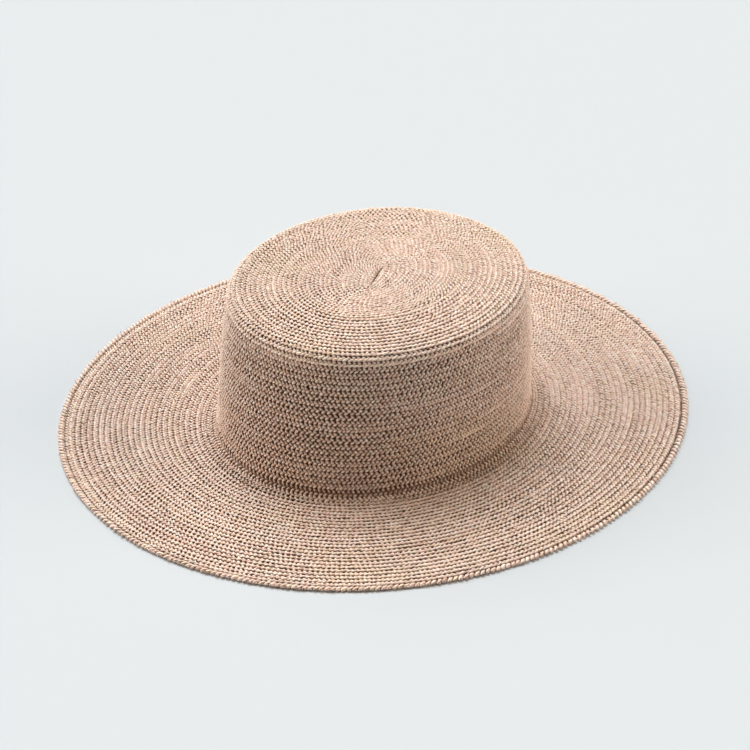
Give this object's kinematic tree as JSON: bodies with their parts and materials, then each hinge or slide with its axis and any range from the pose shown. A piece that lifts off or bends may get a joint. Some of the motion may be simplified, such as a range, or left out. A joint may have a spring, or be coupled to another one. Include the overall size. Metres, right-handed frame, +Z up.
{
  "type": "flat-top straw hat",
  "caption": "Flat-top straw hat with a wide level brim and a straight oval crown, sewn in rows from plaited straw braid.",
  "frame": {"origin": "under the middle of the brim, on the surface that the hat rests on", "axes": "+Z up through the crown, Y along the head's front-to-back direction, X across the head"},
  "size_m": [0.341, 0.375, 0.0861],
  "materials": {
    "straw_braid": "narrow rows of plaited natural straw, beige with pinkish and yellower patches, slightly glossy on each strand",
    "straw_edge": "one fuller, wider round of the same plaited straw, slightly lumpy, with a dark groove inside it"
  },
  "bodies": {
    "root": {"crown_top": "straw_braid", "crown_side": "straw_braid", "brim": "straw_braid", "edge_braid": "straw_edge"}
  },
  "joints": []
}
